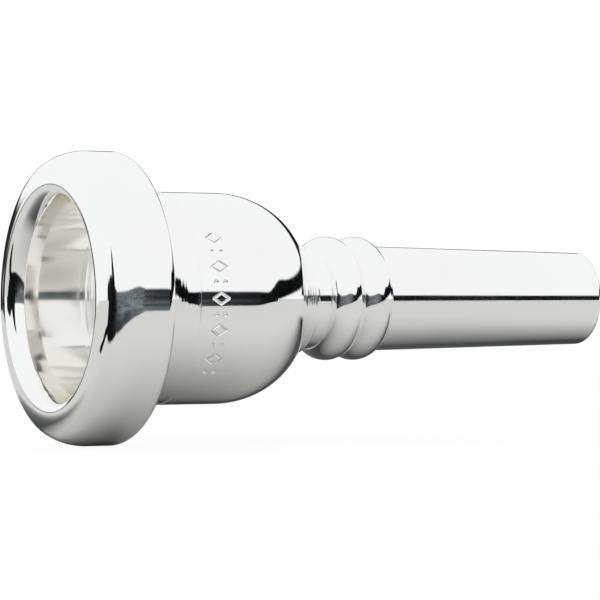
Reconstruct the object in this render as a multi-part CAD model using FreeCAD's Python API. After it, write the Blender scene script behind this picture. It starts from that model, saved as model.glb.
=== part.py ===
"""Large-shank trombone mouthpiece: screw rim, cup and shank, silver-plated brass, in millimetres.

Three turned pieces share the X axis. The player's side is at x = 0, where the rim's crown touches the
plane x = 0, and the shank points along +X. The rim screws onto a male thread at the front of the cup,
and the shank's threaded spigot screws into the cup's base. Threads are plain cylinders here, at their
major radius. Every outline is drawn in the half plane (x, radius) and turned about the X axis.
"""

import math
import os

import FreeCAD
import Part

# ---- driving dimensions --------------------------------------------------------------------------
LENGTH = 80.6                 # crown of the rim to the end of the shank

RIM_RADIUS = 19.05
CROWN_RADIUS = 14.7           # radius of the circle where the rim stands highest
CROWN_ROUND = 7.0             # gentle curve outward from the crown
CROWN_TURN = 18.0             # degrees of that curve, before the tighter brow
BROW_TURN = 60.0              # degrees from the crown to the end of the brow, before the shoulder
RIM_SHOULDER_LENGTH = 4.8     # crown to the cylindrical land, along the axis
RIM_LAND_END = 8.1
RIM_BACK = 9.9
RIM_BACK_ROUND = 1.4          # rounding behind the land, which runs on as a steep cone
RIM_BACK_TURN = 80.0          # degrees from the land to that cone
BITE_X = 2.2                  # inner edge of the rim, which sets the cup's diameter
BITE_RADIUS = 12.9
BITE_TURN = 58.0              # degrees that the rim's inner curve turns before the bite

RIM_SEAT_X = 4.0              # where the rim rests on the cup
RIM_THREAD_RADIUS = 14.85     # major radius, on the cup
RIM_THREAD_END = 8.6

BOWL_TOP_RADIUS = 12.7
BOWL_WALL_LENGTH = 8.0        # nearly straight wall, before the round of the bowl
BOWL_WALL_TAPER = 5.0         # degrees
THROAT_ROUND = 6.0            # shoulder that leads from the bowl into the throat
THROAT_RADIUS = 3.5

COVE_START_RADIUS = 15.3
COVE_LAND = 0.25              # straight edge of the shoulder before the cove
COVE_END = 15.0
COVE_STEP = 0.08              # the body stands this much proud of the cove
BODY_RADIUS = 13.9
BODY_END = 23.35
BODY_BACK_LENGTH = 11.1       # half axes of the ellipse that closes the body
BODY_BACK_DEPTH = 9.0

SPIGOT_START = 28.0
SPIGOT_RADIUS = 5.4           # major radius of the shank's thread

COLLAR_RADIUS = 7.4
COLLAR_END = 35.4
COLLAR_GROOVE_DEPTH = 0.12    # V groove round the middle of the collar
NECK_RADIUS = 6.8
NECK_FILLET = 0.6
BEAD_CENTRES = (40.22, 44.46)
BEAD_RADIUS = 8.28
BEAD_ROUND = 3.0              # radius of each bead's section
BEAD_VALLEY_RADIUS = 7.46     # foot of the beads, between them and behind them
SHANK_BIG_RADIUS = 7.05
SHANK_SMALL_RADIUS = 6.38
END_ROUND = 0.6
BACKBORE_START = 38.0         # where the throat begins to open
BACKBORE_END_RADIUS = 5.25

FIT = 0.05                    # radial clearance of each thread
SEAM = 0.08                   # gap left at the end of a joint that seats on its other face
RELIEF_DEPTH = 0.45
RELIEF_WIDTH = 0.8
CHAMFER = 0.35

SEAM_FACE = RIM_BACK + SEAM
BODY_BACK_CENTRE = BODY_RADIUS - BODY_BACK_DEPTH
BODY_BACK_TURN = math.degrees(math.acos((COLLAR_RADIUS - BODY_BACK_CENTRE) / BODY_BACK_DEPTH))
SHANK_SEAT_X = BODY_END + BODY_BACK_LENGTH * math.sin(math.radians(BODY_BACK_TURN))


# ---- drawing in the half plane -------------------------------------------------------------------
def point(x, radius):
    return FreeCAD.Vector(x, 0, radius)


def lines(*corners):
    """Straight edges through the corners, in order."""
    return [Part.LineSegment(point(*a), point(*b)).toShape() for a, b in zip(corners, corners[1:])]


def on_circle(centre, radius, angle):
    """Place on a circle. Angles run from outward towards the shank, in degrees."""
    turn = math.radians(angle)
    return centre[0] + radius * math.sin(turn), centre[1] + radius * math.cos(turn)


def arc(centre, radius, start, end):
    """Arc of a circle between two angles."""
    places = [point(*on_circle(centre, radius, angle)) for angle in (start, (start + end) / 2, end)]
    return [Part.Arc(*places).toShape()]


def oval(centre, half_length, half_depth, start, end):
    """Arc of an ellipse between two angles."""
    tip = point(centre[0] + half_length, centre[1])
    top = point(centre[0], centre[1] + half_depth)
    if half_length > half_depth:
        ellipse = Part.Ellipse(tip, top, point(*centre))
        start, end = 90 - end, 90 - start
    else:
        ellipse = Part.Ellipse(top, tip, point(*centre))
    return [Part.ArcOfEllipse(ellipse, math.radians(start), math.radians(end)).toShape()]


def turned(edges):
    """The solid that an outline makes when it is turned about the X axis."""
    face = Part.Face(Part.Wire(Part.sortEdges(edges)[0]))
    return face.revolve(FreeCAD.Vector(0, 0, 0), FreeCAD.Vector(1, 0, 0), 360)


# ---- the three pieces ----------------------------------------------------------------------------
def rim_face():
    """Front of the rim from the bite over the crown to the land: an oval inside, three rounds outside."""
    bite_turn = math.radians(BITE_TURN)
    inner_length = BITE_X / (1 - math.cos(bite_turn))
    inner_depth = (CROWN_RADIUS - BITE_RADIUS) / math.sin(bite_turn)
    crown_turn = math.radians(CROWN_TURN)
    brow_turn = math.radians(BROW_TURN)
    crown_end = on_circle((CROWN_ROUND, CROWN_RADIUS), CROWN_ROUND, CROWN_TURN - 90)
    length = RIM_SHOULDER_LENGTH - crown_end[0]
    height = RIM_RADIUS - crown_end[1]
    brow_run = math.cos(crown_turn) - math.cos(brow_turn)
    brow_rise = math.sin(brow_turn) - math.sin(crown_turn)
    shoulder_run = math.cos(brow_turn)
    shoulder_rise = 1 - math.sin(brow_turn)
    shoulder_round = ((length * brow_rise - height * brow_run)
                      / (shoulder_run * brow_rise - shoulder_rise * brow_run))
    brow_round = (height - shoulder_round * shoulder_rise) / brow_rise
    brow_centre = on_circle(crown_end, -brow_round, CROWN_TURN - 90)
    shoulder_centre = (RIM_SHOULDER_LENGTH, RIM_RADIUS - shoulder_round)
    outline = oval((inner_length, CROWN_RADIUS), inner_length, inner_depth, -90 - BITE_TURN, -90)
    outline += arc((CROWN_ROUND, CROWN_RADIUS), CROWN_ROUND, -90, CROWN_TURN - 90)
    outline += arc(brow_centre, brow_round, CROWN_TURN - 90, BROW_TURN - 90)
    outline += arc(shoulder_centre, shoulder_round, BROW_TURN - 90, 0)
    return outline


def make_rim():
    """Cushion of the rim, with the bite inside and a female thread behind."""
    round_centre = (RIM_LAND_END, RIM_RADIUS - RIM_BACK_ROUND)
    round_end = on_circle(round_centre, RIM_BACK_ROUND, RIM_BACK_TURN)
    back_radius = round_end[1] - (RIM_BACK - round_end[0]) * math.tan(math.radians(RIM_BACK_TURN))
    bore = RIM_THREAD_RADIUS + FIT
    relief_end = RIM_SEAT_X + RELIEF_WIDTH
    outline = lines((RIM_SEAT_X, BOWL_TOP_RADIUS), (BITE_X, BITE_RADIUS))
    outline += rim_face()
    outline += lines((RIM_SHOULDER_LENGTH, RIM_RADIUS), (RIM_LAND_END, RIM_RADIUS))
    outline += arc(round_centre, RIM_BACK_ROUND, 0, RIM_BACK_TURN)
    outline += lines(
        round_end, (RIM_BACK, back_radius), (RIM_BACK, bore + CHAMFER), (RIM_BACK - CHAMFER, bore),
        (relief_end, bore), (relief_end, bore + RELIEF_DEPTH / 2),
        (RIM_SEAT_X, bore + RELIEF_DEPTH / 2), (RIM_SEAT_X, BOWL_TOP_RADIUS))
    return turned(outline)


def bowl_and_throat(throat_end):
    """Inside of the cup, from the rim's seat: a tapered wall, part of a sphere, and a rounded shoulder."""
    wall_end_x = RIM_SEAT_X + BOWL_WALL_LENGTH
    taper = math.radians(BOWL_WALL_TAPER)
    wall_end_radius = BOWL_TOP_RADIUS - BOWL_WALL_LENGTH * math.tan(taper)
    sphere_radius = wall_end_radius / math.cos(taper)
    sphere_centre = (wall_end_x - sphere_radius * math.sin(taper), 0)
    rounds = sphere_radius + THROAT_ROUND
    turn = math.degrees(math.acos((THROAT_RADIUS + THROAT_ROUND) / rounds))
    shoulder_centre = on_circle(sphere_centre, rounds, turn)
    outline = lines((RIM_SEAT_X, BOWL_TOP_RADIUS), (wall_end_x, wall_end_radius))
    outline += arc(sphere_centre, sphere_radius, BOWL_WALL_TAPER, turn)
    outline += arc(shoulder_centre, THROAT_ROUND, 180, 180 + turn)
    outline += lines((shoulder_centre[0], THROAT_RADIUS), (throat_end, THROAT_RADIUS))
    return outline


def make_cup():
    """Bowl and throat, with the rim's thread in front and a threaded socket for the shank behind."""
    relief = RIM_THREAD_RADIUS - RELIEF_DEPTH
    relief_end = RIM_THREAD_END + RELIEF_WIDTH
    cove_start = SEAM_FACE + COVE_LAND
    cove_depth = COVE_START_RADIUS - BODY_RADIUS + COVE_STEP
    socket = SPIGOT_RADIUS + FIT
    socket_floor = SPIGOT_START - SEAM
    outline = lines(
        (RIM_SEAT_X, BOWL_TOP_RADIUS), (RIM_SEAT_X, RIM_THREAD_RADIUS - CHAMFER),
        (RIM_SEAT_X + CHAMFER, RIM_THREAD_RADIUS), (RIM_THREAD_END, RIM_THREAD_RADIUS),
        (RIM_THREAD_END, relief), (relief_end, relief), (relief_end, RIM_THREAD_RADIUS),
        (SEAM_FACE, RIM_THREAD_RADIUS), (SEAM_FACE, COVE_START_RADIUS), (cove_start, COVE_START_RADIUS))
    outline += oval((COVE_END, COVE_START_RADIUS), COVE_END - cove_start, cove_depth, -180, -90)
    outline += lines((COVE_END, COVE_START_RADIUS - cove_depth), (COVE_END, BODY_RADIUS),
                     (BODY_END, BODY_RADIUS))
    outline += oval((BODY_END, BODY_BACK_CENTRE), BODY_BACK_LENGTH, BODY_BACK_DEPTH, 0, BODY_BACK_TURN)
    outline += lines(
        (SHANK_SEAT_X, COLLAR_RADIUS), (SHANK_SEAT_X, socket + CHAMFER),
        (SHANK_SEAT_X - CHAMFER, socket), (socket_floor, socket), (socket_floor, THROAT_RADIUS))
    outline += bowl_and_throat(socket_floor)
    return turned(outline)


def bead(centre_x, front_radius):
    """Raised ring of round section, from its front foot to the valley behind, and the x of both feet."""
    centre = (centre_x, BEAD_RADIUS - BEAD_ROUND)
    front = -math.degrees(math.acos((front_radius - centre[1]) / BEAD_ROUND))
    back = math.degrees(math.acos((BEAD_VALLEY_RADIUS - centre[1]) / BEAD_ROUND))
    feet = [on_circle(centre, BEAD_ROUND, turn)[0] for turn in (front, back)]
    return arc(centre, BEAD_ROUND, front, back), *feet


def make_shank():
    """Threaded spigot, collar, neck, two beads and the taper that enters the instrument."""
    relief = SPIGOT_RADIUS - RELIEF_DEPTH
    relief_start = SHANK_SEAT_X - RELIEF_WIDTH
    groove = (SHANK_SEAT_X + COLLAR_END) / 2
    neck_start = COLLAR_END + NECK_FILLET
    first_bead, first_front, first_back = bead(BEAD_CENTRES[0], NECK_RADIUS)
    second_bead, second_front, second_back = bead(BEAD_CENTRES[1], BEAD_VALLEY_RADIUS)
    shank_fillet = BEAD_VALLEY_RADIUS - SHANK_BIG_RADIUS
    taper_start = second_back + shank_fillet
    taper_end = LENGTH - END_ROUND
    end_radius = SHANK_SMALL_RADIUS - END_ROUND
    outline = lines(
        (SPIGOT_START, THROAT_RADIUS), (SPIGOT_START, SPIGOT_RADIUS - CHAMFER),
        (SPIGOT_START + CHAMFER, SPIGOT_RADIUS), (relief_start, SPIGOT_RADIUS), (relief_start, relief),
        (SHANK_SEAT_X, relief), (SHANK_SEAT_X, COLLAR_RADIUS),
        (groove - COLLAR_GROOVE_DEPTH, COLLAR_RADIUS), (groove, COLLAR_RADIUS - COLLAR_GROOVE_DEPTH),
        (groove + COLLAR_GROOVE_DEPTH, COLLAR_RADIUS), (COLLAR_END, COLLAR_RADIUS))
    outline += arc((neck_start, NECK_RADIUS + NECK_FILLET), NECK_FILLET, 180, 270)
    outline += lines((neck_start, NECK_RADIUS), (first_front, NECK_RADIUS))
    outline += first_bead
    outline += lines((first_back, BEAD_VALLEY_RADIUS), (second_front, BEAD_VALLEY_RADIUS))
    outline += second_bead
    outline += arc((taper_start, BEAD_VALLEY_RADIUS), shank_fillet, 180, 270)
    outline += lines((taper_start, SHANK_BIG_RADIUS), (taper_end, SHANK_SMALL_RADIUS))
    outline += arc((taper_end, end_radius), END_ROUND, 0, 90)
    outline += lines(
        (LENGTH, end_radius), (LENGTH, BACKBORE_END_RADIUS), (BACKBORE_START, THROAT_RADIUS),
        (SPIGOT_START, THROAT_RADIUS))
    return turned(outline)


def main():
    os.makedirs("parts", exist_ok=True)
    for name, make in {"rim": make_rim, "cup": make_cup, "shank": make_shank}.items():
        solid = make()
        solid.exportStep(f"parts/{name}.step")
        print(f"{name}: {solid.ShapeType}, valid {solid.isValid()}, {solid.Volume / 1000:.2f} cm3")


main()
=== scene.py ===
"""Looks of the mouthpiece: three turned and plated pieces, the table, the cards they reflect, the camera."""
import math

import bpy
import numpy as np
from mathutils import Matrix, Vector


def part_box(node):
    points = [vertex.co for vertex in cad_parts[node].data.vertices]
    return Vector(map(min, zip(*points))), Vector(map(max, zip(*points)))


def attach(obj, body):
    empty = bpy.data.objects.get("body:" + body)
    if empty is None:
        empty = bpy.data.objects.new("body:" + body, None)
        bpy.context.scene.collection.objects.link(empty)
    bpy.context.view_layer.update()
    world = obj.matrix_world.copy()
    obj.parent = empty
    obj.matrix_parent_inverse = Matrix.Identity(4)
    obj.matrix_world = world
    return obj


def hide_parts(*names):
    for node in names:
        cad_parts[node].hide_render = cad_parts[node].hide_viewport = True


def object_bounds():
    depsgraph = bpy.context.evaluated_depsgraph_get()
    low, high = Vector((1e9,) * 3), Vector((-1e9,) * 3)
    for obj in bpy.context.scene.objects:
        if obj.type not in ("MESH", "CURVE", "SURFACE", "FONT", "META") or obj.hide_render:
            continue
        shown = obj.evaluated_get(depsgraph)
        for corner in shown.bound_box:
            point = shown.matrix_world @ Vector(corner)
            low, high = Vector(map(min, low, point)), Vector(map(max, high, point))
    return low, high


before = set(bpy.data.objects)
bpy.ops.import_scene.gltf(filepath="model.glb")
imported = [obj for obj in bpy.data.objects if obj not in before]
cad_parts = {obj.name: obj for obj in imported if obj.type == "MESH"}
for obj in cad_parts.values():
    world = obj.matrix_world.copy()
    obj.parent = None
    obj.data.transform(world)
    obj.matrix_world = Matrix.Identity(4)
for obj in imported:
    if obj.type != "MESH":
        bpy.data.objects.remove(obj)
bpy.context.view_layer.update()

MM = 0.001

# ---- dimensions in millimetres: x from the crown of the rim, and radius ---------------------------
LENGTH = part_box("shank")[1].x / MM
RIM_RADIUS = 19.05
CROWN_RADIUS = 14.7
CROWN_ROUND = 7.0
CROWN_TURN = 18.0
BROW_ROUND = 2.2757
BROW_TURN = 60.0
SHOULDER_ROUND = 6.8619
SHOULDER_LENGTH = 4.8
LAND_END = 8.1
RIM_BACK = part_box("rim")[1].x / MM
BACK_ROUND = 1.4
BACK_TURN = 80.0
BITE_X = 2.2
BITE_RADIUS = 12.9
BITE_TURN = 58.0

SEAT_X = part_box("cup")[0].x / MM
RIM_THREAD = {"radius": 14.85, "start": 4.35, "end": 8.6, "pitch": 0.95, "depth": 0.42}
RELIEF = 0.45
RELIEF_WIDTH = 0.8
CHAMFER = 0.35
FIT = 0.05
SEAM = 0.08

BOWL_TOP_RADIUS = 12.7
BOWL_WALL = 8.0
BOWL_LEAN = 8.5
BOWL_ROUND = 13.5
THROAT_ROUND = 6.0
THROAT_RADIUS = 3.5

COVE_RADIUS = 15.3
COVE_LAND = 0.25
COVE_END = 15.0
BODY_STEP = 0.08
BODY_RADIUS = 13.9
BODY_END = 23.35
BACK_LENGTH = 11.1
BACK_DEPTH = 9.0

SPIGOT_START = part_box("shank")[0].x / MM
SHANK_THREAD = {"radius": 5.4, "start": 28.35, "end": 33.2, "pitch": 0.8, "depth": 0.36}
COLLAR_RADIUS = 7.4
COLLAR_END = 35.4
COLLAR_GROOVES = 3
GROOVE_DEPTH = 0.12
NECK_RADIUS = 6.8
NECK_FILLET = 0.6
BEAD_CENTRES = (40.22, 44.46)
BEAD_RADIUS = 8.28
BEAD_ROUND = 3.0
BEAD_VALLEY = 7.46
SHANK_BIG = 7.05
SHANK_SMALL = 6.38
END_ROUND = 0.6
BACKBORE_START = 38.0
BACKBORE_END = 5.25

EDGE = 0.07                   # how far polishing has eased each sharp edge
FINE_EDGE = 0.012             # the same where the rim and the cup meet inside, polished together
EASE_FROM = 12.0              # degrees of turn above which an edge is eased
CURVE_STEP = 3.0              # degrees between the rows of a round
BOWL_STEP = 0.75              # the same inside the bowl, whose reflections show every facet


# ---- outlines in the half plane (x, radius) --------------------------------------------------------
def round_run(centre, size, start, end, step=CURVE_STEP):
    """Points on an ellipse. Angles run from outward towards the shank, in degrees."""
    count = max(3, math.ceil(abs(end - start) / step))
    angles = np.radians(np.linspace(start, end, count + 1))
    return [(centre[0] + size[0] * math.sin(a), centre[1] + size[1] * math.cos(a)) for a in angles]


def line_run(first, last, count):
    """Evenly spaced points on a straight stretch."""
    shares = np.linspace(0.0, 1.0, count + 1)
    return [(first[0] + (last[0] - first[0]) * s, first[1] + (last[1] - first[1]) * s) for s in shares]


def eased(points):
    """The closed outline with each sharp corner rounded a little, as polishing leaves it."""
    kept = [p for i, p in enumerate(points) if math.dist(p, points[i - 1]) > 1e-6]
    result = []
    for i, here in enumerate(kept):
        before = Vector(kept[i - 1]) - Vector(here)
        after = Vector(kept[(i + 1) % len(kept)]) - Vector(here)
        turn = math.degrees(math.pi - before.angle(after))
        if turn < EASE_FROM:
            result.append(here)
            continue
        edge = FINE_EDGE if math.dist(here, (SEAT_X, BOWL_TOP_RADIUS)) < 1e-6 else EDGE
        start = Vector(here) + before.normalized() * min(edge, before.length * 0.45)
        end = Vector(here) + after.normalized() * min(edge, after.length * 0.45)
        for share in (0.0, 0.3, 0.7, 1.0):
            bend = start * (1 - share) ** 2 + Vector(here) * 2 * share * (1 - share) + end * share ** 2
            result.append(tuple(bend))
    return result


def rim_outline():
    """Bite, crown, land and back of the rim, then its threaded bore."""
    turn = math.radians(BITE_TURN)
    inner = (BITE_X / (1 - math.cos(turn)), (CROWN_RADIUS - BITE_RADIUS) / math.sin(turn))
    back_centre = (LAND_END, RIM_RADIUS - BACK_ROUND)
    back = round_run(back_centre, (BACK_ROUND, BACK_ROUND), 0, BACK_TURN)
    back_radius = back[-1][1] - (RIM_BACK - back[-1][0]) * math.tan(math.radians(BACK_TURN))
    bore = RIM_THREAD["radius"] + FIT
    relief_end = SEAT_X + RELIEF_WIDTH
    points = line_run((SEAT_X, BOWL_TOP_RADIUS), (BITE_X, BITE_RADIUS), 1)
    points += round_run((inner[0], CROWN_RADIUS), inner, -90 - BITE_TURN, -90)
    points += round_run((CROWN_ROUND, CROWN_RADIUS), (CROWN_ROUND, CROWN_ROUND), -90, CROWN_TURN - 90)
    turn = math.radians(CROWN_TURN)
    brow = (points[-1][0] + BROW_ROUND * math.cos(turn), points[-1][1] - BROW_ROUND * math.sin(turn))
    points += round_run(brow, (BROW_ROUND, BROW_ROUND), CROWN_TURN - 90, BROW_TURN - 90)
    points += round_run((SHOULDER_LENGTH, RIM_RADIUS - SHOULDER_ROUND), (SHOULDER_ROUND, SHOULDER_ROUND),
                        BROW_TURN - 90, 0)
    points += line_run((SHOULDER_LENGTH, RIM_RADIUS), (LAND_END, RIM_RADIUS), 2)
    points += back
    points += [(RIM_BACK, back_radius), (RIM_BACK, bore + CHAMFER)]
    points += line_run((RIM_BACK - CHAMFER, bore), (relief_end, bore), 44)
    points += [(relief_end, bore + RELIEF / 2), (SEAT_X, bore + RELIEF / 2)]
    return eased(points)


def bowl_run(throat_end):
    """Inside of the cup: wall that leans in more and more, round floor, rounded shoulder, throat."""
    lean = math.radians(BOWL_LEAN)
    bend = BOWL_WALL / math.sin(lean)
    wall = round_run((SEAT_X, BOWL_TOP_RADIUS - bend), (bend, bend), 0, BOWL_LEAN, BOWL_STEP)
    centre = (wall[-1][0] - BOWL_ROUND * math.sin(lean), wall[-1][1] - BOWL_ROUND * math.cos(lean))
    reach = BOWL_ROUND + THROAT_ROUND
    turn = math.acos((THROAT_RADIUS + THROAT_ROUND - centre[1]) / reach)
    shoulder = (centre[0] + reach * math.sin(turn), centre[1] + reach * math.cos(turn))
    degrees = math.degrees(turn)
    points = wall
    points += round_run(centre, (BOWL_ROUND, BOWL_ROUND), BOWL_LEAN, degrees, BOWL_STEP)
    points += round_run(shoulder, (THROAT_ROUND, THROAT_ROUND), 180 + degrees, 180)
    points += [(throat_end, THROAT_RADIUS)]
    return points


def body_end_turn():
    """Angle on the body's closing ellipse at which it meets the collar."""
    return math.degrees(math.acos((COLLAR_RADIUS - BODY_RADIUS + BACK_DEPTH) / BACK_DEPTH))


def seat_x():
    """Where the cup's back meets the shank's collar."""
    return BODY_END + BACK_LENGTH * math.sin(math.radians(body_end_turn()))


def cup_outline():
    """Thread, cove, body and closing curve outside, socket and bowl inside."""
    thread = RIM_THREAD["radius"]
    relief = thread - RELIEF
    relief_end = RIM_THREAD["end"] + RELIEF_WIDTH
    seam = RIM_BACK + SEAM
    cove_start = seam + COVE_LAND
    cove_depth = COVE_RADIUS - BODY_RADIUS + BODY_STEP
    socket = SHANK_THREAD["radius"] + FIT
    floor = SPIGOT_START - SEAM
    points = bowl_run(floor)[::-1]
    points += [(SEAT_X, thread - CHAMFER)]
    points += line_run((SEAT_X + CHAMFER, thread), (RIM_THREAD["end"], thread), 40)
    points += [(RIM_THREAD["end"], relief), (relief_end, relief), (relief_end, thread), (seam, thread),
               (seam, COVE_RADIUS)]
    points += round_run((COVE_END, COVE_RADIUS), (COVE_END - cove_start, cove_depth), 270, 180)
    points += [(COVE_END, BODY_RADIUS)]
    points += line_run((MARK_START, BODY_RADIUS), (MARK_START + MARK_HEIGHT, BODY_RADIUS), MARK_ROWS)
    points += line_run((MARK_START + MARK_HEIGHT, BODY_RADIUS), (BODY_END, BODY_RADIUS), 4)
    points += round_run((BODY_END, BODY_RADIUS - BACK_DEPTH), (BACK_LENGTH, BACK_DEPTH), 0, body_end_turn())
    points += [(seat_x(), socket + CHAMFER)]
    points += line_run((seat_x() - CHAMFER, socket), (floor, socket), 48)
    return eased(points)


def bead_run(centre_x, front_radius):
    """Raised ring of round section, from its front foot to the valley behind it."""
    centre = (centre_x, BEAD_RADIUS - BEAD_ROUND)
    front = math.degrees(math.acos((front_radius - centre[1]) / BEAD_ROUND))
    back = math.degrees(math.acos((BEAD_VALLEY - centre[1]) / BEAD_ROUND))
    return round_run(centre, (BEAD_ROUND, BEAD_ROUND), -front, back)


def shank_outline():
    """Threaded spigot, grooved collar, neck, beads and taper outside, throat and backbore inside."""
    thread = SHANK_THREAD["radius"]
    relief = thread - RELIEF
    relief_start = seat_x() - RELIEF_WIDTH
    neck_start = COLLAR_END + NECK_FILLET
    first = bead_run(BEAD_CENTRES[0], NECK_RADIUS)
    second = bead_run(BEAD_CENTRES[1], BEAD_VALLEY)
    fillet = BEAD_VALLEY - SHANK_BIG
    taper_start = second[-1][0] + fillet
    taper_end = LENGTH - END_ROUND
    end_radius = SHANK_SMALL - END_ROUND
    points = [(SPIGOT_START, THROAT_RADIUS), (SPIGOT_START, thread - CHAMFER)]
    points += line_run((SPIGOT_START + CHAMFER, thread), (relief_start, thread), 48)
    points += [(relief_start, relief), (seat_x(), relief), (seat_x(), COLLAR_RADIUS)]
    for i in range(COLLAR_GROOVES):
        groove = seat_x() + (COLLAR_END - seat_x()) * (i + 1) / (COLLAR_GROOVES + 1)
        points += [(groove - GROOVE_DEPTH, COLLAR_RADIUS), (groove, COLLAR_RADIUS - GROOVE_DEPTH),
                   (groove + GROOVE_DEPTH, COLLAR_RADIUS)]
    points += [(COLLAR_END, COLLAR_RADIUS)]
    points += round_run((neck_start, NECK_RADIUS + NECK_FILLET), (NECK_FILLET, NECK_FILLET), 270, 180)
    points += first
    points += second
    points += round_run((taper_start, BEAD_VALLEY), (fillet, fillet), 270, 180)
    points += line_run((taper_start, SHANK_BIG), (taper_end, SHANK_SMALL), 12)
    points += round_run((taper_end, end_radius), (END_ROUND, END_ROUND), 0, 90)
    points += [(LENGTH, BACKBORE_END)]
    points += line_run((LENGTH, BACKBORE_END), (BACKBORE_START, THROAT_RADIUS), 10)
    return eased(points)


# ---- relief cut into the turned surfaces -----------------------------------------------------------
MARK_START = 16.5             # stamped row of plain marks round the cup
MARK_HEIGHT = 2.7
MARK_ROWS = 44
MARK_DEPTH = 0.13
MARK_STROKE = 0.17            # half width of a stroke
MARK_SPACING = 2.05           # along the circumference
MARK_COUNT = 11
LOZENGE_SLOPES = (1.2, 0.8)   # across and along: the sides lie where the weighted sum is LOZENGE_REACH
LOZENGE_REACH = 0.88
DOT_OFFSET = 0.65
DOT_RADIUS = 0.14
EVEN_TURN = 1.25              # degrees between columns
FINE_TURN = 0.32              # degrees between columns across the stamped marks


def even_turns():
    """Angles of the columns round a piece, from the side that faces -Y."""
    count = round(360 / EVEN_TURN)
    return np.radians(np.arange(count) * 360 / count)


def marked_turns():
    """Columns that crowd together across the stamped marks."""
    half = math.degrees(MARK_COUNT * MARK_SPACING / 2 / BODY_RADIUS) + 1
    fine = np.linspace(-half, half, round(2 * half / FINE_TURN) + 1)
    coarse = np.linspace(half, 360 - half, round((360 - 2 * half) / EVEN_TURN) + 1)[1:-1]
    return np.radians(np.concatenate([fine, coarse]))


def thread_relief(thread, bore, x, radius, turn):
    """Helical ridge, cut below the major radius on a rod and into the wall round a bore."""
    nominal = thread["radius"] + (FIT if bore else 0)
    phase = (x / thread["pitch"] - turn / (2 * math.pi)) % 1.0
    ridge = np.clip((np.abs(2 * phase - 1) - 0.12) / 0.76, 0, 1)
    fade = np.clip((x - thread["start"]) / thread["pitch"], 0, 1)
    fade = fade * np.clip((thread["end"] - x) / thread["pitch"], 0, 1)
    on_thread = np.abs(radius - nominal) < 1e-4
    return thread["depth"] * (1 if bore else -1) * ridge * fade * on_thread


def stroke(distance):
    """Depth of a rounded stamped stroke, from the distance to its middle line."""
    return np.clip(1 - (distance / MARK_STROKE) ** 2, 0, 1)


def mark_relief(x, radius, turn):
    """Row of plain lozenges and dots stamped round the cup."""
    around = ((turn + math.pi) % (2 * math.pi) - math.pi) * BODY_RADIUS
    cell = np.round(around / MARK_SPACING)
    across = around - cell * MARK_SPACING
    along = x - MARK_START - MARK_HEIGHT / 2
    sides = np.abs(across) * LOZENGE_SLOPES[0] + np.abs(along) * LOZENGE_SLOPES[1]
    lozenge = np.abs(sides - LOZENGE_REACH)
    dot = np.hypot(across, np.abs(along) - DOT_OFFSET) - DOT_RADIUS
    depth = np.where(cell % 2 == 0, stroke(lozenge), stroke(np.maximum(dot, 0)))
    inside = (np.abs(cell) <= MARK_COUNT // 2) & (np.abs(radius - BODY_RADIUS) < 1e-4)
    return -MARK_DEPTH * depth * inside * (np.abs(along) < MARK_HEIGHT / 2)


def rim_relief(x, radius, turn):
    return thread_relief(RIM_THREAD, True, x, radius, turn)


def cup_relief(x, radius, turn):
    return (thread_relief(RIM_THREAD, False, x, radius, turn)
            + thread_relief(SHANK_THREAD, True, x, radius, turn) + mark_relief(x, radius, turn))


def shank_relief(x, radius, turn):
    return thread_relief(SHANK_THREAD, False, x, radius, turn)


# ---- turning an outline into a mesh ----------------------------------------------------------------
def vertex_normals(places, turns):
    """Normals of a closed grid, weighted by the length of each row and the closeness of each column."""
    along = np.roll(places, -1, axis=0) - places
    round_step = np.roll(places, -1, axis=1) - places
    faces = np.cross(along, round_step)
    faces = faces + np.cross(np.roll(along, -1, axis=1), np.roll(round_step, -1, axis=0))
    widths = np.diff(np.append(turns, turns[0] + 2 * math.pi))
    faces = faces / (widths ** 2)[None, :, None]
    total = faces + np.roll(faces, 1, axis=0)
    total = total + np.roll(total, 1, axis=1)
    return total / np.linalg.norm(total, axis=2, keepdims=True)


def turned(name, outline, turns, relief):
    """Mesh object of a closed outline turned about X, with relief added to its radius."""
    x, radius = np.array(outline).T
    x = np.repeat(x[:, None], len(turns), axis=1)
    radius = np.repeat(radius[:, None], len(turns), axis=1)
    turn = np.repeat(turns[None, :], len(outline), axis=0)
    radius = radius + relief(x, radius, turn)
    places = np.stack([x, -radius * np.cos(turn), radius * np.sin(turn)], axis=2) * MM
    rows, columns = x.shape
    index = np.arange(rows * columns).reshape(rows, columns)
    right = np.roll(index, -1, axis=1)
    quads = np.stack([index, np.roll(index, -1, axis=0), np.roll(right, -1, axis=0), right], axis=2)
    mesh = bpy.data.meshes.new(name)
    mesh.from_pydata(places.reshape(-1, 3).tolist(), [], quads.reshape(-1, 4).tolist())
    mesh.shade_smooth()
    mesh.normals_split_custom_set_from_vertices(vertex_normals(places, turns).reshape(-1, 3).tolist())
    piece = bpy.data.objects.new(name, mesh)
    bpy.context.scene.collection.objects.link(piece)
    return piece


# ---- materials ---------------------------------------------------------------------------------------
SILVER = (0.975, 0.97, 0.955, 1)
HAZY_SILVER = (0.95, 0.94, 0.915, 1)
FINE_RINGS = 1.2e-6           # heights in metres: tool rings that the polish has left
SHANK_RINGS = 1.5e-6
COVE_RINGS = 4.5e-5           # the deeper ones in the cove
POLISH_WAVES = 6e-6
INSIDE_RADIUS = (0.01282, 0.01292)  # metres: a surface nearer the axis than this is hazed
INSIDE_HAZE = 0.03            # roughness that is added there, in the bowl and the bore
TABLE_GREY = (0.66, 0.655, 0.64, 1)
TABLE_GLOW = 0.94             # share of the table's white that doesn't depend on the light
CARD_TINT = (0.80, 0.93, 1.0, 1)


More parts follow.
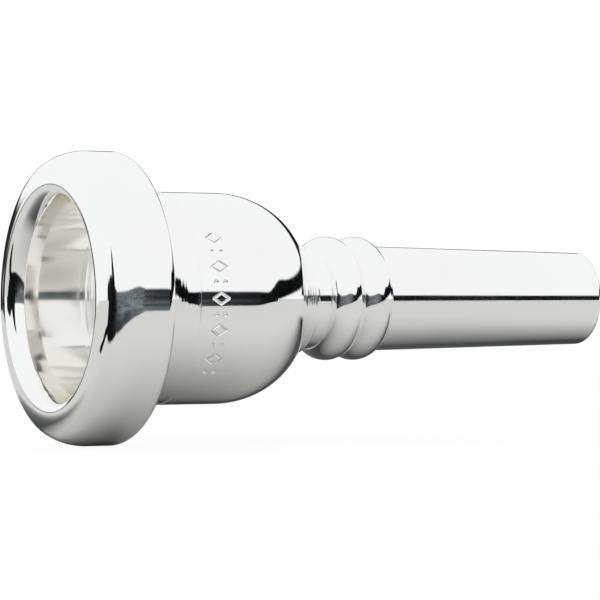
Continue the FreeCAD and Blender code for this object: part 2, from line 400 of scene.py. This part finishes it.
def new_material(name):
    """Empty node material and its output node."""
    material = bpy.data.materials.new(name)
    material.use_nodes = True
    material.node_tree.nodes.clear()
    return material, material.node_tree.nodes.new("ShaderNodeOutputMaterial")


def scaled(tree, source, factors):
    """A vector output multiplied by three factors."""
    node = tree.nodes.new("ShaderNodeVectorMath")
    node.operation = "MULTIPLY"
    node.inputs[1].default_value = factors
    tree.links.new(source, node.inputs[0])
    return node.outputs["Vector"]


def noise(tree, vector, scale, detail):
    node = tree.nodes.new("ShaderNodeTexNoise")
    node.inputs["Scale"].default_value = scale
    node.inputs["Detail"].default_value = detail
    tree.links.new(vector, node.inputs["Vector"])
    return node.outputs["Fac"]


def ranged(tree, source, low, high, out_low, out_high):
    """A value taken from one range to another, and clamped."""
    node = tree.nodes.new("ShaderNodeMapRange")
    for name, value in zip(("From Min", "From Max", "To Min", "To Max"), (low, high, out_low, out_high)):
        node.inputs[name].default_value = value
    tree.links.new(source, node.inputs["Value"])
    return node.outputs["Result"]


def bumped(tree, height, distance, below=None):
    """Normal bent by a height of so many metres."""
    node = tree.nodes.new("ShaderNodeBump")
    node.inputs["Distance"].default_value = distance
    tree.links.new(height, node.inputs["Height"])
    if below is not None:
        tree.links.new(below, node.inputs["Normal"])
    return node.outputs["Normal"]


def combined(tree, operation, first, second):
    """Two values joined by one arithmetic step."""
    node = tree.nodes.new("ShaderNodeMath")
    node.operation = operation
    tree.links.new(first, node.inputs[0])
    tree.links.new(second, node.inputs[1])
    return node.outputs[0]


def split_up(tree, vector):
    """Outputs X, Y and Z of a vector."""
    node = tree.nodes.new("ShaderNodeSeparateXYZ")
    tree.links.new(vector, node.inputs[0])
    return node.outputs


def turned_place(tree):
    """Object coordinates, and the same place as (x, distance from the axis), for rings."""
    place = tree.nodes.new("ShaderNodeTexCoord").outputs["Object"]
    radial = scaled(tree, place, (0, 1, 1))
    length = tree.nodes.new("ShaderNodeVectorMath")
    length.operation = "LENGTH"
    tree.links.new(radial, length.inputs[0])
    ring = tree.nodes.new("ShaderNodeCombineXYZ")
    tree.links.new(split_up(tree, place)["X"], ring.inputs["X"])
    tree.links.new(length.outputs["Value"], ring.inputs["Y"])
    return place, ring.outputs[0]


def silver(name, lines, waviness, ringed=(0.0, 0.0)):
    """Bright silver plate over turned brass: mirror polish, faint tool rings, wipe marks and warm haze.

    Between the two places in ringed, the polishing has left the tool's rings deeper.
    """
    material, output = new_material(name)
    tree = material.node_tree
    place, ring = turned_place(tree)
    where = split_up(tree, ring)
    shader = tree.nodes.new("ShaderNodeBsdfPrincipled")
    shader.inputs["Metallic"].default_value = 1.0
    rings = noise(tree, ring, 5200.0, 2.0)
    waves = noise(tree, place, 260.0, 1.0)
    smudge = noise(tree, place, 110.0, 4.0)
    haze = noise(tree, place, 60.0, 3.0)
    wiped = noise(tree, scaled(tree, place, (0.25, 1.0, 1.0)), 2600.0, 3.0)
    normal = bumped(tree, waves, waviness)
    normal = bumped(tree, rings, lines, normal)
    if ringed[1] > ringed[0]:
        begins = ranged(tree, where["X"], ringed[0], ringed[0] + 0.0004, 0.0, 1.0)
        ends = ranged(tree, where["X"], ringed[1] - 0.0002, ringed[1], 1.0, 0.0)
        deep = noise(tree, scaled(tree, ring, (1.0, 0.02, 1.0)), 1500.0, 3.0)
        deep = combined(tree, "MULTIPLY", combined(tree, "MULTIPLY", deep, begins), ends)
        normal = bumped(tree, deep, COVE_RINGS, normal)
    tree.links.new(normal, shader.inputs["Normal"])
    rough = combined(tree, "ADD", ranged(tree, smudge, 0.45, 0.75, 0.03, 0.075),
                     ranged(tree, wiped, 0.55, 0.8, 0.0, 0.05))
    rough = combined(tree, "ADD", rough, ranged(tree, where["Y"], *INSIDE_RADIUS, INSIDE_HAZE, 0.0))
    tree.links.new(rough, shader.inputs["Roughness"])
    colour = tree.nodes.new("ShaderNodeMix")
    colour.data_type = "RGBA"
    colour.inputs["A"].default_value = SILVER
    colour.inputs["B"].default_value = HAZY_SILVER
    tree.links.new(ranged(tree, haze, 0.45, 0.8, 0.0, 1.0), colour.inputs["Factor"])
    tree.links.new(colour.outputs["Result"], shader.inputs["Base Color"])
    tree.links.new(shader.outputs[0], output.inputs["Surface"])
    return material


def floor_material():
    """Pale table: light grey in reflections, white to the camera, with the object's soft shadow in both."""
    material, output = new_material("table_paper")
    tree = material.node_tree
    table = tree.nodes.new("ShaderNodeBsdfDiffuse")
    table.inputs["Color"].default_value = TABLE_GREY
    paper = tree.nodes.new("ShaderNodeBsdfDiffuse")
    paper.inputs["Color"].default_value = (1, 1, 1, 1)
    glow = tree.nodes.new("ShaderNodeEmission")
    glow.inputs["Strength"].default_value = 1.0
    seen = tree.nodes.new("ShaderNodeMixShader")
    seen.inputs["Fac"].default_value = TABLE_GLOW
    tree.links.new(paper.outputs[0], seen.inputs[1])
    tree.links.new(glow.outputs[0], seen.inputs[2])
    mix = tree.nodes.new("ShaderNodeMixShader")
    path = tree.nodes.new("ShaderNodeLightPath")
    tree.links.new(path.outputs["Is Camera Ray"], mix.inputs["Fac"])
    tree.links.new(table.outputs[0], mix.inputs[1])
    tree.links.new(seen.outputs[0], mix.inputs[2])
    tree.links.new(mix.outputs[0], output.inputs["Surface"])
    return material


def card_material(name, near):
    """Dark backdrop or painted shadow for reflections: its mesh says how dark and how solid it is, place by
    place.

    A near one shows at the first reflection only, so that the bowl stays light.
    """
    material, output = new_material(name)
    tree = material.node_tree
    cover = tree.nodes.new("ShaderNodeAttribute")
    cover.attribute_name = "cover"
    tone = tree.nodes.new("ShaderNodeAttribute")
    tone.attribute_name = "tone"
    place = tree.nodes.new("ShaderNodeTexCoord").outputs["Object"]
    mottle = ranged(tree, noise(tree, place, 22.0, 4.0), 0.35, 0.65, 0.45, 1.6)
    glow = tree.nodes.new("ShaderNodeEmission")
    glow.inputs["Color"].default_value = CARD_TINT
    tree.links.new(combined(tree, "MULTIPLY", tone.outputs["Fac"], mottle), glow.inputs["Strength"])
    clear = tree.nodes.new("ShaderNodeBsdfTransparent")
    mix = tree.nodes.new("ShaderNodeMixShader")
    solid = ranged(tree, cover.outputs["Fac"], 0.0, 1.0, 0.0, 1.0)
    solid.node.interpolation_type = "SMOOTHSTEP"
    if near:
        path = tree.nodes.new("ShaderNodeLightPath")
        first = ranged(tree, path.outputs["Ray Depth"], 1.4, 1.6, 1.0, 0.0)
        solid = combined(tree, "MULTIPLY", solid, first)
    tree.links.new(solid, mix.inputs["Fac"])
    tree.links.new(clear.outputs[0], mix.inputs[1])
    tree.links.new(glow.outputs[0], mix.inputs[2])
    tree.links.new(mix.outputs[0], output.inputs["Surface"])
    return material


# ---- the three pieces --------------------------------------------------------------------------------
def add_piece(name, node, body, outline, turns, relief, material):
    """One turned piece, which stands for its CAD node and moves with its body."""
    piece = turned(name, outline, turns, relief)
    piece.data.materials.append(material)
    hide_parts(node)
    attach(piece, body)


def add_pieces():
    add_piece("rim_plated", "rim", "rim", rim_outline(), even_turns(), rim_relief,
              silver("silver_rim_finish", FINE_RINGS, POLISH_WAVES))
    add_piece("cup_plated", "cup", "cup", cup_outline(), marked_turns(), cup_relief,
              silver("silver_cup_finish", FINE_RINGS, POLISH_WAVES, (RIM_BACK * MM, COVE_END * MM)))
    add_piece("shank_plated", "shank", "shank", shank_outline(), even_turns(), shank_relief,
              silver("silver_shank_finish", SHANK_RINGS, POLISH_WAVES))


# ---- camera --------------------------------------------------------------------------------------------
VIEW_TURN = 28.0              # degrees from square on, towards the player's side
VIEW_DISTANCE = 0.4159
AIM_X = 0.03651               # place on the axis that the camera looks at
LENS = 186.54
SHIFT_Y = -0.0025

TO_CAMERA = Vector((-math.sin(math.radians(VIEW_TURN)), -math.cos(math.radians(VIEW_TURN)), 0))
TO_RIGHT = Vector((math.cos(math.radians(VIEW_TURN)), -math.sin(math.radians(VIEW_TURN)), 0))


def add_camera():
    data = bpy.data.cameras.new("camera")
    data.lens = LENS
    data.shift_y = SHIFT_Y
    data.clip_start = 0.01
    camera = bpy.data.objects.new("camera", data)
    bpy.context.scene.collection.objects.link(camera)
    camera.location = Vector((AIM_X, 0, 0)) + TO_CAMERA * VIEW_DISTANCE
    camera.rotation_euler = TO_CAMERA.to_track_quat("Z", "Y").to_euler()
    bpy.context.scene.camera = camera


# ---- studio: white tent, table and the dark surroundings that the silver reflects -------------------------
FAR = 1.6                     # metres from the object to the far backdrop
STAGE_CENTRE = Vector((0.02, -0.01, 0))
TABLE_SIZE = 6.0
TENT_COLOUR = (0.935, 0.95, 0.965, 1)
SKY_LOW = 0.45                # sine of the elevation below which the light is dim
SKY_HIGH = 0.75               # and above which it is bright
SKY_DIM = 0.12
SKY_BRIGHT = 1.55
BOUNCES = 48                  # enough for the reflections inside the bowl to reach the room
FAINTEST = 0.004              # least brightness of a card
# brightness of the painted shadow on the table behind the object
SHADE_TONE = 0.03
MAT_TONE = 0.008
STAND_TONE = 0.006
SHADE_LIFT = 0.0002           # metres that each sheet lies above the table
FLOOR_LIFT = 0.0003
MAT_LIFT = 0.0004

# far backdrop: degrees to the right of the camera, lowest and highest elevation, how bright it is
FRONT_ROOM = [(-74, -2, 3, 0.01), (-66, -2, 6, 0.01), (-58, -2, 8, 0.01), (-44, -2, 12, 0.01),
              (-30, -2, 9, 0.01), (-16, -2, 6, 0.05), (-8, -2, 4.5, 0.15), (12, -2, 5.5, 0.17),
              (35, -2, 8.5, 0.16), (46, -2, 8, 0.13), (51, -2, 7, 0.08), (56, -2, 6.5, 0.01),
              (67, -1, 6, 0.006), (74, -1, 10, 0.004), (83, 0, 15, 0.004), (97, 2.5, 14, 0.004),
              (116, 4.5, 14, 0.004), (144, 6, 14, 0.004), (157, 7, 18, 0.004), (168, 6, 18, 0.004),
              (182, 3.5, 13, 0.01), (200, 2, 9.5, 0.01), (214, 1, 7, 0.02), (226, 0.5, 5, 0.05)]
BACK_LINE = [(-184, -5, 0, 0.02), (-168, -6, -0.5, 0.01), (-160, -6, 2, 0.01), (-154, -6, 11, 0.01),
             (-149, -6, 6, 0.01), (-143, -5, 0.5, 0.01), (-132, -2.5, 2.5, 0.01), (-124, -1.5, 3, 0.01)]
EDGE_SOFTNESS = 1.1           # degrees over which the far backdrop fades out

# edge of the dark floor on the camera's side of the table, in millimetres, and how bright it is
DARK_FLOOR = [(-70, -4, 0.008), (-52, -15, 0.008), (-36, -21, 0.008), (-26, -28, 0.008), (-19, -36, 0.015),
              (-14, -48, 0.05), (-9, -64, 0.15), (10, -90, 0.2), (50, -117, 0.16), (90, -145, 0.03),
              (127, -172, 0.008), (210, -225, 0.006), (420, -330, 0.006)]

# painted shadow on the table behind the object: x, where it begins, where it is full, where it ends, how deep
# it is
BACK_SHADE = [(-30, 5, 25, 60, 0.0), (-8, 2, 14, 80, 0.75), (14, -4, 8, 80, 0.85), (34, -5, 8, 75, 0.85),
              (54, -14, 9, 90, 0.85), (90, -17, 9, 110, 0.88), (125, -16, 13, 120, 0.88),
              (165, -5, 40, 120, 0.0)]

# dark mat on the table on the player's side: x, nearer edge and farther edge
DARK_MAT = [(-53, 12, 18), (-56, 2, 24), (-61, -8, 31), (-68, -14, 38), (-77, -20, 42), (-86, -26, 36),
            (-95, -28, 15)]
MAT_SOFTNESS = 2.5

# dark stand near the rim, in millimetres: height above the axis, half width, and how solid it is
STAND_PLACE = (-100.0, -78.0)
STAND = [(-19, 26, 1), (0, 24, 1), (20, 19, 1), (45, 12, 1), (68, 6, 1), (86, 2, 0)]


def stage_object(name, places, faces, material):
    """Mesh that belongs to the studio."""
    mesh = bpy.data.meshes.new(name)
    mesh.from_pydata([tuple(p) for p in places], [], faces)
    mesh.materials.append(material)
    thing = bpy.data.objects.new(name, mesh)
    bpy.context.scene.collection.objects.link(thing)
    return thing


def dark_sheet(name, rows, near):
    """Reflection-only sheet from rows of (place, cover, tone)."""
    width = len(rows[0])
    spots = [spot for row in rows for spot in row]
    faces = [(i * width + j, i * width + j + 1, (i + 1) * width + j + 1, (i + 1) * width + j)
             for i in range(len(rows) - 1) for j in range(width - 1)]
    sheet = stage_object(name, [spot[0] for spot in spots], faces, card_material(name, near))
    for index, label in ((1, "cover"), (2, "tone")):
        layer = sheet.data.attributes.new(label, "FLOAT", "POINT")
        layer.data.foreach_set("value", [float(spot[index]) for spot in spots])
    sheet.visible_camera = False
    sheet.visible_diffuse = False
    sheet.visible_transmission = False
    sheet.visible_volume_scatter = False
    sheet.visible_shadow = False


def heading(turn):
    """Level direction at so many degrees to the right of the camera, seen from the object."""
    angle = math.radians(turn)
    return TO_CAMERA * math.cos(angle) + TO_RIGHT * math.sin(angle)


def smooth_run(stations, count):
    """Stations joined by a smooth curve."""
    table = np.array(stations, dtype=float)
    steps = np.arange(len(table))
    fine = np.linspace(0, len(table) - 1, count)
    slopes = np.gradient(table, axis=0)
    low = np.minimum(fine.astype(int), len(table) - 2)
    t = (fine - steps[low])[:, None]
    return (table[low] * (2 * t ** 3 - 3 * t ** 2 + 1) + slopes[low] * (t ** 3 - 2 * t ** 2 + t)
            + table[low + 1] * (3 * t ** 2 - 2 * t ** 3) + slopes[low + 1] * (t ** 3 - t ** 2))


def far_backdrop(name, stations):
    """Upright sheet round the object that fades out at its edges."""
    rows = []
    run = smooth_run(stations, 12 * len(stations))
    for i, (turn, low, high, tone) in enumerate(run):
        foot = STAGE_CENTRE + heading(turn) * FAR
        end = i in (0, len(run) - 1)
        heights = (low - EDGE_SOFTNESS, low + EDGE_SOFTNESS, high - EDGE_SOFTNESS, high + EDGE_SOFTNESS)
        heights = np.maximum.accumulate(heights)
        shown = max(tone, FAINTEST)
        row = [(foot + Vector((0, 0, FAR * math.tan(math.radians(e)))), 0 if end else cover, shown)
               for e, cover in zip(heights, (0, 1, 1, 0))]
        rows.append(row)
    dark_sheet(name, rows, False)


def dark_floor(floor_z):
    """Dark floor on the camera's side, with a soft curved edge."""
    rows = []
    run = smooth_run(DARK_FLOOR, 90)
    for i, (x, y, tone) in enumerate(run):
        edge = Vector((x * MM, y * MM, floor_z + FLOOR_LIFT))
        foot = Vector((STAGE_CENTRE.x, STAGE_CENTRE.y, edge.z))
        end = i in (0, len(run) - 1)
        row = [(foot + (edge - foot) * reach, 0 if end else cover, max(tone, FAINTEST))
               for reach, cover in ((0.94, 0), (1.06, 1), (3.0, 1), (40.0, 1))]
        rows.append(row)
    dark_sheet("dark_floor", rows, False)


def back_shade(floor_z):
    """Painted shadow: a sheet that deepens the object's soft shadow on the table behind it, in reflections
    only.
    """
    rows = []
    for x, start, full, end, depth in smooth_run(BACK_SHADE, 50):
        row = [(Vector((x * MM, y * MM, floor_z + SHADE_LIFT)), max(cover, 0.0), SHADE_TONE)
               for y, cover in ((start, 0), (full, depth), ((full + end) / 2, depth * 0.8), (end, 0))]
        rows.append(row)
    dark_sheet("back_shade", rows, True)


def dark_mat(floor_z):
    """Dark mat on the table, which the rim's inner flank reflects."""
    rows = []
    run = smooth_run(DARK_MAT, 60)
    for i, (x, near_y, far_y) in enumerate(run):
        cover = 0 if i in (0, len(run) - 1) else 1
        ends = ((near_y - MAT_SOFTNESS, 0), (near_y + MAT_SOFTNESS, cover),
                (far_y - MAT_SOFTNESS, cover), (far_y + MAT_SOFTNESS, 0))
        rows.append([(Vector((x * MM, y * MM, floor_z + MAT_LIFT)), share, MAT_TONE) for y, share in ends])
    dark_sheet("dark_mat", rows, True)


def dark_stand():
    """Dark upright stand beside the camera, near the rim."""
    centre = Vector((STAND_PLACE[0] * MM, STAND_PLACE[1] * MM, 0))
    side = Vector((-centre.y, centre.x, 0)).normalized()
    rows = []
    for height, half, cover in STAND:
        row = [(centre + side * half * share * MM + Vector((0, 0, height * MM)), cover * inside, STAND_TONE)
               for share, inside in ((-1.25, 0), (-0.75, 1), (0.75, 1), (1.25, 0))]
        rows.append(row)
    dark_sheet("dark_stand", rows, True)


def white_tent():
    """White to the camera and a little cooler in reflections. The light itself comes from overhead."""
    world = bpy.data.worlds.new("white_tent")
    world.use_nodes = True
    tree = world.node_tree
    path = tree.nodes.new("ShaderNodeLightPath")
    tint = tree.nodes.new("ShaderNodeMix")
    tint.data_type = "RGBA"
    tree.links.new(path.outputs["Is Camera Ray"], tint.inputs["Factor"])
    tint.inputs["A"].default_value = TENT_COLOUR
    tint.inputs["B"].default_value = (1, 1, 1, 1)
    tree.links.new(tint.outputs["Result"], tree.nodes["Background"].inputs["Color"])
    height = split_up(tree, tree.nodes.new("ShaderNodeTexCoord").outputs["Generated"])["Z"]
    overhead = ranged(tree, height, SKY_LOW, SKY_HIGH, SKY_DIM, SKY_BRIGHT)
    mix = tree.nodes.new("ShaderNodeMix")
    tree.links.new(path.outputs["Is Diffuse Ray"], mix.inputs["Factor"])
    mix.inputs["A"].default_value = 1.0
    tree.links.new(overhead, mix.inputs["B"])
    tree.links.new(mix.outputs["Result"], tree.nodes["Background"].inputs["Strength"])
    return world


def add_studio():
    floor_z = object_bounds()[0].z
    half = TABLE_SIZE / 2
    corners = [(-half, -half, floor_z), (half, -half, floor_z), (half, half, floor_z), (-half, half, floor_z)]
    stage_object("table", corners, [(0, 1, 2, 3)], floor_material())
    dark_floor(floor_z)
    back_shade(floor_z)
    dark_mat(floor_z)
    dark_stand()
    far_backdrop("front_room", FRONT_ROOM)
    far_backdrop("back_line", BACK_LINE)
    scene = bpy.context.scene
    scene.world = white_tent()
    scene.view_settings.view_transform = "Standard"
    scene.cycles.max_bounces = BOUNCES
    scene.cycles.glossy_bounces = BOUNCES
    scene.cycles.transparent_max_bounces = 16


add_camera()
add_pieces()
add_studio()
